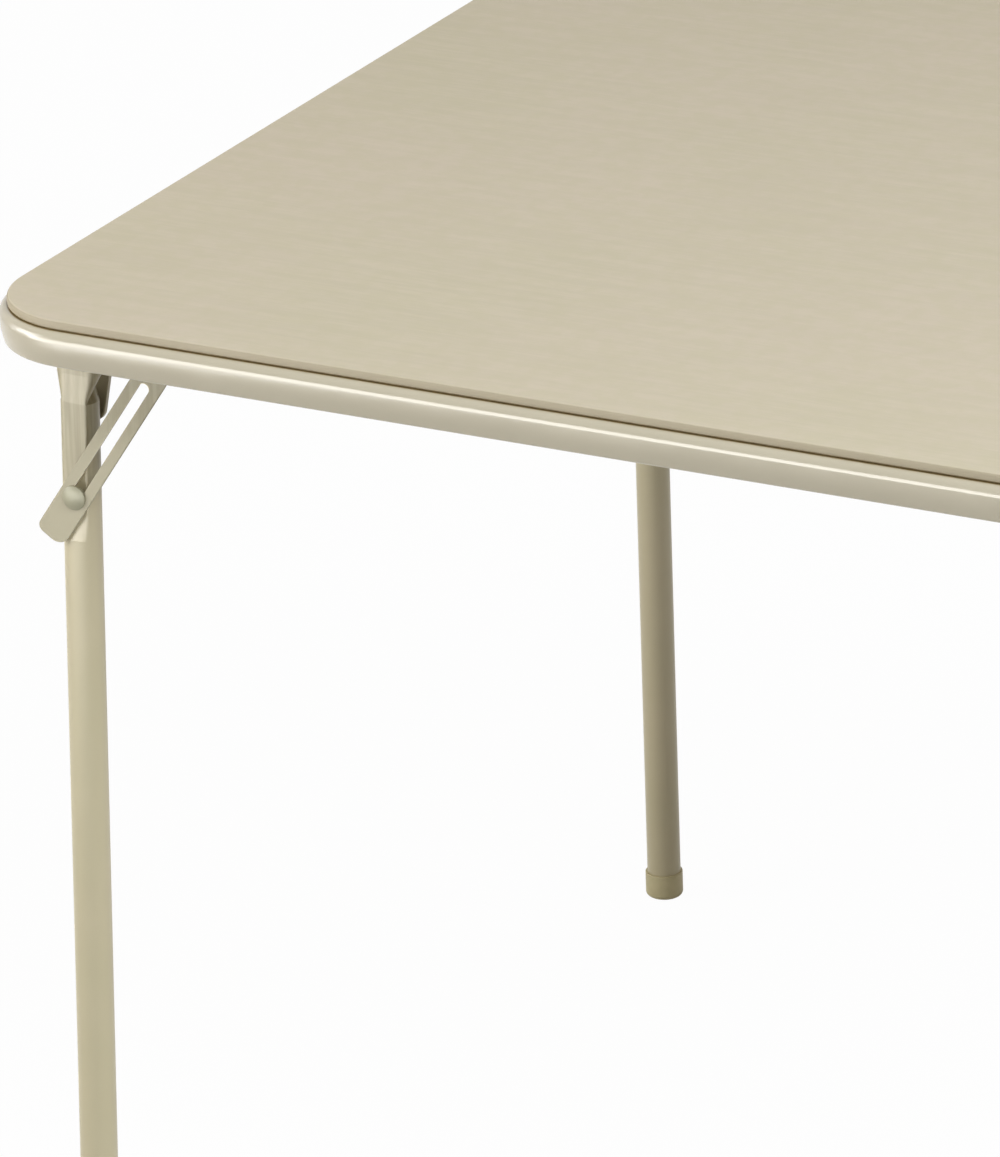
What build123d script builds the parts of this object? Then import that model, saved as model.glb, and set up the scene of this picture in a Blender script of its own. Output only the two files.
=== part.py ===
from build123d import *
import math
import os

# Folding card table: a padded square top in a roll-formed steel rail, on four legs that fold flat.
# Millimetres. The origin is on the floor under the middle of the top, +X runs to the right along
# the front rail, +Y to the back and +Z up.
# The legs are set round the rail like the sails of a windmill: each folds along its own rail towards
# the next corner. The front left corner is modelled, and the other three are quarter turns of it.
# Depths are measured down from the top of the table, and offsets across a leg are measured from the
# middle of that leg towards the middle of the table.

corner_names = ["front_left", "front_right", "back_right", "back_left"]
quarter_turn = 360 / len(corner_names)

# Table as a whole
table_side = 863.6
table_height = 714.5
cut_overrun = 2.0
hole_clearance = 0.05

# Padded panel
cover_thickness = 0.6
cover_turn_under = 18.0
cover_edge_radius = 2.2
cover_lower_radius = 2.0
pad_thickness = 1.8
board_thickness = 3.2
panel_inset = 5.5
panel_corner_radius = 62.0
board_top = cover_thickness + pad_thickness
board_underside = board_top + board_thickness
panel_thickness = board_underside + cover_thickness

# Roll-formed rail
rail_gauge = 1.0
rail_height = 22.6
rail_flange_width = 26.0
rail_shoulder_radius = 6.0
rail_foot_radius = 2.5
rail_lip_width = 13.0
rail_lip_height = 4.0
rail_lip_radius = 2.0
rail_lean_angle = 17.0
rail_corner_radius = panel_corner_radius + panel_inset
flange_underside = panel_thickness + rail_gauge

# Screws that hold the panel down, and the line along the flange that all fasteners stand on
fastener_inset = 20.0
screw_spacing = 430.0
screw_radius = 1.75
screw_head_radius = 3.6
screw_head_height = 2.0
screw_bite = 2.6

# Leg
leg_diameter = 23.8
leg_wall = 1.0
leg_inset_along = 52.5
leg_inset_across = 54.3
leg_splay_angle = 1.25
leg_flat_thickness = 14.0
leg_flat_below_pivot = 24.0
leg_round_below_pivot = 42.0
leg_quarter_angle = 45.0
leg_seat_offset = 8.5
leg_seat_edge_radius = 2.5
leg_seat_below_stud = 14.0
leg_seat_fade = 16.0
leg_flat_width = leg_flat_thickness + math.pi * (leg_diameter - leg_flat_thickness) / 2

# Foot tip
tip_wall = 1.4
tip_height = 19.0
tip_floor_thickness = 4.0
tip_edge_radius = 3.6
tip_mouth_radius = 0.6

# Hinge bracket, stamped from sheet
bracket_gauge = 1.6
bracket_plate_gap = 15.0
bracket_ear_gap = 13.7
bracket_pivot_radius = 12.0
bracket_flange_inset = 14.0
bracket_flange_start = 12.0
bracket_ear_half_width = 22.0
bracket_ear_tip_depth = 78.0
bracket_ear_tip_radius = 9.0
bracket_lip_height = 1.4
bracket_lip_width = 1.2
bracket_bend_radius = 1.0
bracket_rivet_radius = 2.4
bracket_rivet_head_radius = 4.6
bracket_rivet_head_height = 1.6
bracket_rivet_places = [6.0, 62.0]

# Leg pivot: a rivet through a tube, with a spacer ring on each side of the leg
pivot_rivet_radius = 3.2
pivot_rivet_head_radius = 6.5
pivot_rivet_head_height = 2.0
pivot_bush_radius = 5.0
pivot_spacer_radius = 7.5
pivot_spacer_play = 0.3

# Slotted lock brace and the stud that runs in its slot
stud_depth = 128.0
stud_lead = 2.8
stud_head_radius = 7.75
stud_head_height = 3.2
stud_head_rim = 0.9
stud_neck_radius = 3.35
stud_collar_radius = 4.6
stud_shank_radius = 3.0
stud_tail_radius = 4.4
stud_tail_height = 1.5
stud_play = 0.3
brace_slope_angle = 56.45
brace_width = 21.2
brace_gauge = 1.8
brace_face_offset = 14.5
brace_pivot_depth = 24.0
brace_slot_width = 7.3
brace_slot_spare = 1.2
brace_tab_length = 34.8
brace_tab_small_radius = 5.0
brace_tab_large_radius = 9.0
brace_notch_depth = 2.2
brace_edge_chamfer = 0.35
brace_rivet_radius = 3.0
brace_rivet_head_radius = 6.0
brace_rivet_head_height = 1.6
brace_rivet_tail_height = 1.2
brace_rivet_slit = 0.3

# Places worked out from the sizes above
half_side = table_side / 2
leg_pivot_depth = brace_pivot_depth + stud_lead
pivot_x = leg_inset_along - half_side
leg_y = leg_inset_across - half_side
pivot_z = table_height - leg_pivot_depth
splay_sine = math.sin(math.radians(leg_splay_angle))
splay_cosine = math.cos(math.radians(leg_splay_angle))
stud_reach = (stud_depth - leg_pivot_depth - stud_lead * splay_sine) / splay_cosine
stud_x = pivot_x + stud_lead * splay_cosine - stud_reach * splay_sine
stud_z = table_height - stud_depth
brace_length = (stud_depth - brace_pivot_depth) / math.sin(math.radians(brace_slope_angle))
brace_pivot_x = stud_x + brace_length * math.cos(math.radians(brace_slope_angle))
brace_pivot_z = table_height - brace_pivot_depth
brace_travel = brace_length - (pivot_x + stud_reach - brace_pivot_x)
brace_slot_length = brace_travel + brace_slot_spare


def level(depth):
    """Height above the floor of a level that lies this depth below the table's top."""
    return table_height - depth


def across(offset):
    """Y of a point this far from the middle of the front left leg, towards the table's middle."""
    return leg_y + offset


def panel_slab(inset, top_depth, bottom_depth):
    """Square slab with round corners, its edge this inset from the rail's outer face."""
    side = table_side - 2 * inset
    corner = panel_corner_radius + panel_inset - inset
    outline = RectangleRounded(side, side, corner)
    return extrude(Pos(0, 0, level(bottom_depth)) * outline, amount=bottom_depth - top_depth)


def cylinder_down(x, y, radius, top_depth, bottom_depth):
    """Upright round bar between two depths."""
    disc = Pos(x, y, level(bottom_depth)) * Circle(radius)
    return extrude(disc, amount=bottom_depth - top_depth)


def cylinder_across(x, z, radius, start_offset, end_offset):
    """Round bar along Y between two offsets from the middle of the front left leg."""
    disc = Plane(origin=(x, across(start_offset), z), z_dir=(0, 1, 0)) * Circle(radius)
    return extrude(disc, amount=end_offset - start_offset)


def turn_corner(shape, index):
    """Copy of a front left piece at another corner."""
    return Rot(0, 0, quarter_turn * index) * shape


def screw_places():
    """Two screws on each side of the rail."""
    line_y = fastener_inset - half_side
    places = []
    for index in range(len(corner_names)):
        angle = math.radians(quarter_turn * index)
        for x in (-screw_spacing / 2, screw_spacing / 2):
            turned_x = x * math.cos(angle) - line_y * math.sin(angle)
            turned_y = x * math.sin(angle) + line_y * math.cos(angle)
            places.append((turned_x, turned_y))
    return places


def bracket_rivet_points():
    """Rivets that hold the front left bracket to the rail's flange."""
    return [(pivot_x + place, fastener_inset - half_side) for place in bracket_rivet_places]


# Panel

def make_cover():
    """Vinyl sheet drawn over the pad and the board, and turned under the board's edge."""
    block = panel_slab(panel_inset, 0, panel_thickness)
    block = fillet(block.edges().group_by(Axis.Z)[-1], cover_edge_radius)
    block = fillet(block.edges().group_by(Axis.Z)[0], cover_lower_radius)
    filling = panel_slab(panel_inset + cover_thickness, cover_thickness, board_underside)
    filling = fillet(filling.edges().group_by(Axis.Z)[-1], cover_edge_radius - cover_thickness)
    filling = fillet(filling.edges().group_by(Axis.Z)[0], cover_lower_radius - cover_thickness)
    mouth_top = board_underside - cover_thickness
    mouth_bottom = panel_thickness + cut_overrun
    cover = block - filling - panel_slab(panel_inset + cover_turn_under, mouth_top, mouth_bottom)
    for x, y in screw_places():
        cover -= cylinder_down(x, y, screw_radius + hole_clearance, mouth_top, mouth_bottom)
    return cover


def make_pad():
    """Thin foam sheet between the vinyl and the board."""
    pad = panel_slab(panel_inset + cover_thickness, cover_thickness, board_top)
    return fillet(pad.edges().group_by(Axis.Z)[-1], cover_edge_radius - cover_thickness)


def make_board():
    """Hardboard sheet with its lower edge rounded, drilled from below for the screws."""
    board = panel_slab(panel_inset + cover_thickness, board_top, board_underside)
    board = fillet(board.edges().group_by(Axis.Z)[0], cover_lower_radius - cover_thickness)
    for x, y in screw_places():
        board -= cylinder_down(x, y, screw_radius + hole_clearance, board_underside - screw_bite,
                               board_underside + cut_overrun)
    return board


def make_screws():
    """Round-head screws driven up through the flange into the board."""
    head_bottom = flange_underside + screw_head_height
    screws = []
    for x, y in screw_places():
        shank = cylinder_down(x, y, screw_radius, board_underside - screw_bite, flange_underside)
        head = cylinder_down(x, y, screw_head_radius, flange_underside, head_bottom)
        head = fillet(head.edges().group_by(Axis.Z)[0], screw_head_height / 2)
        screws.append(shank + head)
    return Compound(children=screws)


# Rail

def rail_path(inward):
    """Edges of the rail's section, this far inside its outer surface, from flange to lip."""
    lean = math.radians(rail_lean_angle)
    face_drop = rail_height - rail_shoulder_radius - rail_foot_radius * (1 - math.sin(lean))
    face_radius = face_drop / math.sin(lean)
    flange_z = level(panel_thickness + inward)
    flange = Line((rail_flange_width - half_side, flange_z), (rail_shoulder_radius - half_side, flange_z))
    shoulder = JernArc(flange @ 1, flange % 1, rail_shoulder_radius - inward, 90)
    face = JernArc(shoulder @ 1, shoulder % 1, face_radius - inward, rail_lean_angle)
    foot = JernArc(face @ 1, face % 1, rail_foot_radius - inward, 90 - rail_lean_angle)
    foot_end = foot @ 1
    bottom = Line(foot_end, (rail_lip_width - rail_lip_radius - half_side, foot_end.Y))
    bend = JernArc(bottom @ 1, bottom % 1, rail_lip_radius - inward, 90)
    lip = Line(bend @ 1, ((bend @ 1).X, level(panel_thickness + rail_height - rail_lip_height)))
    return [flange, shoulder, face, foot, bottom, bend, lip]


def rail_section():
    """Section of the front rail, a rounded channel open towards the middle of the table."""
    outer = rail_path(0)
    inner = rail_path(rail_gauge)
    flange_end = Line(inner[0] @ 0, outer[0] @ 0)
    lip_end = Line(outer[-1] @ 1, inner[-1] @ 1)
    return make_face(Plane.YZ * (Curve() + outer + inner + [flange_end, lip_end]))


def make_rail():
    """Rail bent from one strip: four straight sides and four round corners."""
    straight = half_side - rail_corner_radius
    section = Pos(-straight, 0, 0) * rail_section()
    side = extrude(section, amount=2 * straight, dir=(1, 0, 0))
    corner_axis = Axis((-straight, -straight, 0), (0, 0, -1))
    corner = revolve(section, corner_axis, quarter_turn)
    rail = Part()
    for index in range(len(corner_names)):
        rail += turn_corner(side, index)
        rail += turn_corner(corner, index)
    hole_top = panel_thickness - cut_overrun
    hole_bottom = flange_underside + cut_overrun
    for x, y in screw_places():
        rail -= cylinder_down(x, y, screw_radius + hole_clearance, hole_top, hole_bottom)
    for x, y in bracket_rivet_points():
        hole = cylinder_down(x, y, bracket_rivet_radius + hole_clearance, hole_top, hole_bottom)
        for index in range(len(corner_names)):
            rail -= turn_corner(hole, index)
    return rail


# Hinge bracket and its fasteners

def bracket_sheet(start_x, end_x, start_y, end_y):
    """Level stretch of the bracket, as high as the underside of the rail's flange."""
    middle_depth = flange_underside + bracket_gauge / 2
    middle = Pos((start_x + end_x) / 2, (start_y + end_y) / 2, level(middle_depth))
    return middle * Box(end_x - start_x, end_y - start_y, bracket_gauge)


def make_bracket_plate():
    """Upright plate beside the rail that carries the pivots of the leg and the brace."""
    run = brace_pivot_x - pivot_x
    rise = brace_pivot_z - pivot_z
    turn = math.degrees(math.atan2(rise, run))
    links = Pos(pivot_x + run / 2, pivot_z + rise / 2) * Rot(0, 0, turn) * SlotCenterToCenter(
        math.hypot(run, rise), 2 * bracket_pivot_radius)
    left = pivot_x - bracket_pivot_radius
    right = brace_pivot_x + bracket_pivot_radius
    root_z = level(flange_underside)
    upper = make_face(Polyline((left, root_z), (left, pivot_z), (right, brace_pivot_z), (right, root_z),
                               close=True))
    face = Plane(origin=(0, across(-bracket_plate_gap), 0), x_dir=(1, 0, 0), z_dir=(0, -1, 0))
    return extrude(face * (links + upper), amount=bracket_gauge)


def ear_outline(inset):
    """Outline of the bracket's ear in its own plane, drawn in by an inset: a taper with a round tip."""
    radius = bracket_ear_tip_radius - inset
    tip_z = level(bracket_ear_tip_depth)
    root_z = level(flange_underside)
    half_width = bracket_ear_half_width - inset
    drop = root_z - tip_z
    reach = math.hypot(half_width, drop)
    side_angle = math.atan2(drop, half_width) - math.acos(radius / reach)
    touch_x = radius * math.cos(side_angle)
    touch_z = radius * math.sin(side_angle)
    right = Line((half_width, root_z), (touch_x, tip_z + touch_z))
    tip = ThreePointArc((touch_x, tip_z + touch_z), (0, tip_z - radius), (-touch_x, tip_z + touch_z))
    left = Line((-touch_x, tip_z + touch_z), (-half_width, root_z))
    head = Line((-half_width, root_z), (half_width, root_z))
    return Pos(pivot_x, 0) * make_face(Curve() + [right, tip, left, head])


def make_ear():
    """Long ear behind the leg, with a stiffening lip turned towards the leg."""
    ear_plane = Plane(origin=(0, across(bracket_ear_gap), 0), x_dir=(1, 0, 0), z_dir=(0, -1, 0))
    ear = extrude(ear_plane * ear_outline(0), amount=-bracket_gauge)
    ring = extrude(ear_plane * ear_outline(0), amount=bracket_lip_height)
    hollow = extrude(ear_plane * ear_outline(bracket_lip_width), amount=bracket_lip_height + cut_overrun)
    return ear + (ring - hollow)


def bracket_holes():
    """Holes of the bracket: leg pivot, brace pivot and the rivets to the rail."""
    plate_front = -bracket_plate_gap - bracket_gauge - cut_overrun
    holes = cylinder_across(pivot_x, pivot_z, pivot_rivet_radius + hole_clearance, plate_front,
                            bracket_ear_gap + bracket_gauge + cut_overrun)
    holes += cylinder_across(brace_pivot_x, brace_pivot_z, brace_rivet_radius + hole_clearance,
                             plate_front, cut_overrun - bracket_plate_gap)
    for x, y in bracket_rivet_points():
        holes += cylinder_down(x, y, bracket_rivet_radius + hole_clearance,
                               flange_underside - cut_overrun,
                               flange_underside + bracket_gauge + cut_overrun)
    return holes


def make_bracket():
    """Stamped bracket: a pivot plate beside the rail, a web over the leg and a long ear behind it."""
    plate_outer = across(-bracket_plate_gap - bracket_gauge)
    plate_inner = across(-bracket_plate_gap)
    ear_outer = across(bracket_ear_gap + bracket_gauge)
    flange = bracket_sheet(pivot_x - bracket_flange_start, brace_pivot_x + bracket_pivot_radius,
                           bracket_flange_inset - half_side, plate_inner)
    web = bracket_sheet(pivot_x - bracket_ear_half_width, pivot_x + bracket_ear_half_width,
                        plate_outer, ear_outer)
    bracket = make_bracket_plate() + flange + web + make_ear()
    bend = bracket.edges().filter_by(Axis.X).group_by(Axis.Y)[-1].sort_by(Axis.Z)[-1]
    bracket = fillet(bend, bracket_gauge + bracket_bend_radius)
    return bracket - bracket_holes()


def make_bracket_rivets():
    """Rivets with their flush ends under the panel and round heads below the bracket's flange."""
    head_top = flange_underside + bracket_gauge
    rivets = []
    for x, y in bracket_rivet_points():
        shank = cylinder_down(x, y, bracket_rivet_radius, panel_thickness, head_top)
        head = cylinder_down(x, y, bracket_rivet_head_radius, head_top, head_top + bracket_rivet_head_height)
        head = fillet(head.edges().group_by(Axis.Z)[0], bracket_rivet_head_height / 2)
        rivets.append(shank + head)
    return Compound(children=rivets)


def round_head(x, z, radius, height, seat_offset, outward):
    """Low domed rivet head on a seat, pointing to the rail (-1) or to the table's middle (+1)."""
    dome_radius = (radius ** 2 + height ** 2) / (2 * height)
    plane = Plane(origin=(x, across(seat_offset), z), x_dir=(1, 0, 0), z_dir=(0, outward, 0))
    profile = make_face(Curve() + [
        Line((0, 0), (radius, 0)),
        RadiusArc((radius, 0), (0, height), -dome_radius),
        Line((0, height), (0, 0))])
    turned = revolve(Plane.XZ * profile, Axis.Z)
    return plane * turned


def make_pivot_rivet():
    """Leg pivot rivet through plate, bush and ear."""
    front = -bracket_plate_gap - bracket_gauge
    back = bracket_ear_gap + bracket_gauge
    shank = cylinder_across(pivot_x, pivot_z, pivot_rivet_radius, front, back)
    head = round_head(pivot_x, pivot_z, pivot_rivet_head_radius, pivot_rivet_head_height, front, -1)
    tail = round_head(pivot_x, pivot_z, pivot_rivet_head_radius, pivot_rivet_head_height, back, 1)
    return shank + head + tail


def make_pivot_bush():
    """Tube that the leg turns on, gripped between plate and ear."""
    bush = cylinder_across(pivot_x, pivot_z, pivot_bush_radius, -bracket_plate_gap, bracket_ear_gap)
    return bush - cylinder_across(pivot_x, pivot_z, pivot_rivet_radius + hole_clearance,
                                  -bracket_plate_gap - cut_overrun, bracket_ear_gap + cut_overrun)


def make_pivot_spacers():
    """Two loose rings that keep the leg in the middle of its bush."""
    leg_face = leg_flat_thickness / 2 + pivot_spacer_play
    rings = []
    for start, end in ((-bracket_plate_gap, -leg_face), (leg_face, bracket_ear_gap)):
        ring = cylinder_across(pivot_x, pivot_z, pivot_spacer_radius, start, end)
        ring -= cylinder_across(pivot_x, pivot_z, pivot_bush_radius + hole_clearance,
                                start - cut_overrun, end + cut_overrun)
        rings.append(ring)
    return Compound(children=rings)


# Leg

def leg_place():
    """From the leg's own frame, pivot at the origin and axis down, to the front left corner."""
    return Pos(pivot_x, leg_y, pivot_z) * Rot(0, leg_splay_angle, 0)


def tube_section(height, right, top, left, left_edge, bottom, right_edge):
    """Section of the leg at a height in its own frame, from its six stretches in turn."""
    return Plane.XY.offset(height) * make_face(Curve() + [right, top, left, left_edge, bottom, right_edge])


def seat_edge_middle():
    """Centre of the seat's rounded edge, right of and below the middle of the leg."""
    edge_y = leg_seat_offset - leg_seat_edge_radius
    return math.sqrt((leg_diameter / 2 - leg_seat_edge_radius) ** 2 - edge_y ** 2), edge_y


def seat_angles():
    """Angles below the horizontal at which the seat's rounded edge starts and its flat starts."""
    edge_x, edge_y = seat_edge_middle()
    return math.degrees(math.atan2(edge_y, edge_x)), math.degrees(math.atan2(leg_seat_offset, edge_x))


def round_section(inward, height):
    """Round section, with its lower quarter split where the seat's flat will run out."""
    radius = leg_diameter / 2 - inward
    edge_angle, flat_angle = seat_angles()
    return tube_section(
        height,
        CenterArc((0, 0), radius, -edge_angle, edge_angle + leg_quarter_angle),
        CenterArc((0, 0), radius, leg_quarter_angle, 180 - 2 * leg_quarter_angle),
        CenterArc((0, 0), radius, 180 - leg_quarter_angle, leg_quarter_angle + edge_angle),
        CenterArc((0, 0), radius, 180 + edge_angle, flat_angle - edge_angle),
        CenterArc((0, 0), radius, 180 + flat_angle, 180 - 2 * flat_angle),
        CenterArc((0, 0), radius, -flat_angle, flat_angle - edge_angle))


def seat_section(inward, height):
    """Round section pressed flat on the side of the rail, where the brace and its stud lie."""
    radius = leg_diameter / 2 - inward
    edge_radius = leg_seat_edge_radius - inward
    edge_x, edge_y = seat_edge_middle()
    edge_angle = seat_angles()[0]
    flat_y = inward - leg_seat_offset
    return tube_section(
        height,
        CenterArc((0, 0), radius, -edge_angle, edge_angle + leg_quarter_angle),
        CenterArc((0, 0), radius, leg_quarter_angle, 180 - 2 * leg_quarter_angle),
        CenterArc((0, 0), radius, 180 - leg_quarter_angle, leg_quarter_angle + edge_angle),
        CenterArc((-edge_x, -edge_y), edge_radius, 180 + edge_angle, 90 - edge_angle),
        Line((-edge_x, flat_y), (edge_x, flat_y)),
        CenterArc((edge_x, -edge_y), edge_radius, -90, 90 - edge_angle))


def oval_section(inward, height):
    """Section flattened on both sides, as it is at the pivot."""
    radius = leg_flat_thickness / 2 - inward
    flat = (leg_flat_width - leg_flat_thickness) / 2
    return tube_section(
        height,
        CenterArc((flat, 0), radius, -leg_quarter_angle, 90 + leg_quarter_angle),
        Line((flat, radius), (-flat, radius)),
        CenterArc((-flat, 0), radius, 90, 90 + leg_quarter_angle),
        CenterArc((-flat, 0), radius, 180 + leg_quarter_angle, 90 - leg_quarter_angle),
        Line((-flat, -radius), (flat, -radius)),
        CenterArc((flat, 0), radius, -90, 90 - leg_quarter_angle))


def leg_end_reach():
    """Distance from the pivot to the lower end of the tube, along the leg."""
    return pivot_z / splay_cosine - tip_floor_thickness


def leg_body(inward, overrun):
    """Outer or inner form of the leg tube: round, with a flat seat for the brace, and oval at the pivot."""
    end = leg_end_reach() + overrun
    seat_end = stud_reach + leg_seat_below_stud
    fade_end = seat_end + leg_seat_fade
    flat_top = leg_flat_width / 2 - inward + overrun
    round_part = extrude(round_section(inward, -end), amount=end - fade_end)
    fade = loft([round_section(inward, -fade_end), seat_section(inward, -seat_end)])
    seat = extrude(seat_section(inward, -seat_end), amount=seat_end - leg_round_below_pivot)
    taper = loft([seat_section(inward, -leg_round_below_pivot), oval_section(inward, -leg_flat_below_pivot)])
    flat_part = extrude(oval_section(inward, -leg_flat_below_pivot), amount=leg_flat_below_pivot + flat_top)
    return round_part + fade + seat + taper + flat_part


def make_leg():
    """Steel tube with a flattened, rounded top that turns on the bush, and a stud hole in its seat."""
    outer = leg_body(0, 0)
    inner = leg_body(leg_wall, cut_overrun)
    tube = outer - inner
    end_radius = leg_flat_width / 2
    round_end = extrude(Plane.XZ * Circle(end_radius), amount=leg_diameter, both=True)
    below = Pos(0, 0, -leg_end_reach() / 2) * Box(2 * leg_diameter, 2 * leg_diameter, leg_end_reach())
    tube = tube & (round_end + below)
    bush_outline = Plane.XZ * Circle(pivot_bush_radius + hole_clearance)
    bush_hole = extrude(bush_outline, amount=leg_diameter, both=True)
    stud_outline = Plane.XZ * Pos(stud_lead, -stud_reach) * Circle(stud_shank_radius + hole_clearance)
    stud_hole = extrude(stud_outline, amount=leg_diameter)
    return leg_place() * (tube - bush_hole - stud_hole)


def make_tip():
    """Moulded cup on the leg's end, cut flat where it stands on the floor."""
    floor_reach = leg_end_reach() + tip_floor_thickness + cut_overrun
    mouth = leg_end_reach() + tip_floor_thickness - tip_height
    outer_radius = leg_diameter / 2 + tip_wall
    cup = extrude(Pos(0, 0, -floor_reach) * Circle(outer_radius), amount=floor_reach - mouth)
    cup = fillet(cup.edges().group_by(Axis.Z)[-1], tip_mouth_radius)
    socket = extrude(Pos(0, 0, -leg_end_reach()) * Circle(leg_diameter / 2), amount=leg_end_reach())
    placed = leg_place() * (cup - socket)
    foot_x = pivot_x - pivot_z * splay_sine / splay_cosine
    above_floor = Pos(foot_x, leg_y, tip_height) * Box(4 * outer_radius, 4 * outer_radius, 2 * tip_height)
    placed = placed & above_floor
    return fillet(placed.edges().group_by(Axis.Z)[0], tip_edge_radius)


# Stud and brace

def make_stud():
    """Shouldered stud: domed head over the brace, neck in the slot, shank riveted into the leg."""
    brace_back = brace_face_offset - brace_gauge
    head_seat = brace_face_offset + stud_play
    neck_end = brace_back - stud_play
    collar_end = leg_seat_offset + stud_play
    tail_start = leg_seat_offset - leg_wall - stud_play
    tail_end = tail_start - stud_tail_height
    rim = cylinder_across(stud_x, stud_z, stud_head_radius, -head_seat - stud_head_rim, -head_seat)
    dome = round_head(stud_x, stud_z, stud_head_radius, stud_head_height - stud_head_rim,
                      -head_seat - stud_head_rim, -1)
    neck = cylinder_across(stud_x, stud_z, stud_neck_radius, -head_seat, -neck_end)
    collar = cylinder_across(stud_x, stud_z, stud_collar_radius, -neck_end, -collar_end)
    shank = cylinder_across(stud_x, stud_z, stud_shank_radius, -collar_end, -tail_start)
    tail = cylinder_across(stud_x, stud_z, stud_tail_radius, -tail_start, -tail_end)
    return rim + dome + neck + collar + shank + tail


def brace_place():
    """Plane of the brace's front face, with its origin at the stud and its x axis up the slot."""
    slope = math.radians(brace_slope_angle)
    return Plane(origin=(stud_x, across(-brace_face_offset), stud_z),
                 x_dir=(math.cos(slope), 0, math.sin(slope)), z_dir=(0, -1, 0))


def make_brace():
    """Flat slotted bar with a round pivot end, a locking notch at the stud and a blunt finger tab."""
    half_width = brace_width / 2
    bar_length = brace_length + brace_tab_length
    bar = Pos(brace_length / 2 - brace_tab_length / 2, 0) * Rectangle(bar_length, brace_width)
    tab_corners = bar.vertices().group_by(Axis.X)[0].sort_by(Axis.Y)
    bar = fillet(tab_corners[0], brace_tab_large_radius)
    upper_corner = bar.vertices().sort_by(Axis.Y)[-2:].sort_by(Axis.X)[0]
    bar = fillet(upper_corner, brace_tab_small_radius)
    outline = bar + Pos(brace_length, 0) * Circle(half_width)
    slot = Pos(brace_slot_length / 2, 0) * SlotCenterToCenter(brace_slot_length, brace_slot_width)
    notch = Pos(0, brace_notch_depth / 2) * SlotCenterToCenter(
        brace_notch_depth, brace_slot_width, rotation=90)
    hole = Pos(brace_length, 0) * Circle(brace_rivet_radius + hole_clearance)
    plate = extrude(brace_place() * outline, amount=-brace_gauge)
    rims = plate.edges().filter_by(Plane.XZ)
    plate = chamfer(rims, brace_edge_chamfer)
    openings = brace_place().offset(cut_overrun) * (slot + notch + hole)
    return plate - extrude(openings, amount=-brace_gauge - 2 * cut_overrun)


def make_brace_rivet_head():
    """Half of the brace's pivot rivet that stays in the bracket's plate."""
    front = -bracket_plate_gap - bracket_gauge
    shank = cylinder_across(brace_pivot_x, brace_pivot_z, brace_rivet_radius, front, -bracket_plate_gap)
    return shank + round_head(brace_pivot_x, brace_pivot_z, brace_rivet_head_radius,
                              brace_rivet_head_height, front, -1)


def make_brace_rivet_tail():
    """Half of the brace's pivot rivet that stays in the brace, a slit short of the other half."""
    back = brace_gauge - brace_face_offset
    front = brace_rivet_slit - bracket_plate_gap
    shank = cylinder_across(brace_pivot_x, brace_pivot_z, brace_rivet_radius, front, back)
    return shank + round_head(brace_pivot_x, brace_pivot_z, brace_rivet_head_radius,
                              brace_rivet_tail_height, back, 1)


def save(name, shape):
    """Write one node's STEP file."""
    export_step(shape, os.path.join("parts", name + ".step"))


def main():
    """Build every node and write it."""
    os.makedirs("parts", exist_ok=True)
    save("vinyl_cover", make_cover())
    save("foam_pad", make_pad())
    save("tabletop_board", make_board())
    save("panel_screws", make_screws())
    save("frame_rail", make_rail())
    corner_pieces = {
        "hinge_bracket": make_bracket(),
        "bracket_rivets": make_bracket_rivets(),
        "leg_pivot_rivet": make_pivot_rivet(),
        "leg_pivot_bush": make_pivot_bush(),
        "leg_pivot_spacers": make_pivot_spacers(),
        "leg_tube": make_leg(),
        "foot_tip": make_tip(),
        "lock_stud": make_stud(),
        "lock_brace": make_brace(),
        "brace_rivet_head": make_brace_rivet_head(),
        "brace_rivet_tail": make_brace_rivet_tail(),
    }
    for piece_name, piece in corner_pieces.items():
        for index, corner_name in enumerate(corner_names):
            save(piece_name + "_" + corner_name, turn_corner(piece, index))


main()
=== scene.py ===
"""Folding card table: finishes, vinyl cover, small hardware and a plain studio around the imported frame.

All lengths are metres in the frame's own axes: +X along the front rail, +Y to the back, +Z up.
"""

import logging
import math
from collections.abc import Callable, Iterable
from dataclasses import dataclass, field, replace
from enum import Enum

import bpy
from mathutils import Matrix, Vector


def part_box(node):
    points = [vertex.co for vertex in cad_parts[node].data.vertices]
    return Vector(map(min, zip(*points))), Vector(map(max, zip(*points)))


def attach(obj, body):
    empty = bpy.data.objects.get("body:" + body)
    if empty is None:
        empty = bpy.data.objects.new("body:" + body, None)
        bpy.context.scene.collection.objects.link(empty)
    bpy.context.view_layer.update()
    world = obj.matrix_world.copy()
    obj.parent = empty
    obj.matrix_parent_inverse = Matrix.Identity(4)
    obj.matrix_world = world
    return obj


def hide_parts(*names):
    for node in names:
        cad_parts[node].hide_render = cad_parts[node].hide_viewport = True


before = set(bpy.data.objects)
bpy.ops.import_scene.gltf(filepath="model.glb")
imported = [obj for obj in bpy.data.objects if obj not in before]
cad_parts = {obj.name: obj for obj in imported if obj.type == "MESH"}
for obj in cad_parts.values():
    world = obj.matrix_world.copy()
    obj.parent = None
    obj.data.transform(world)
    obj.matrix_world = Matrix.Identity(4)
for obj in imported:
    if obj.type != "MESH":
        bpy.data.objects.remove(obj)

MM = 0.001
X, Y, Z = range(3)
QUARTER_TURN = math.pi / 2
LEVEL = 0.99  # a face lies level where its normal's Z is beyond this
MERGE_DISTANCE = 0.002 * MM
NOISE_MIDDLE = 0.5
CORNERS = ("front_left", "front_right", "back_right", "back_left")
CORNERS_ALONG_X = ("front_left", "back_right")  # their legs fold along X, and the others' along Y
log = logging.getLogger("card_table")

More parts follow.
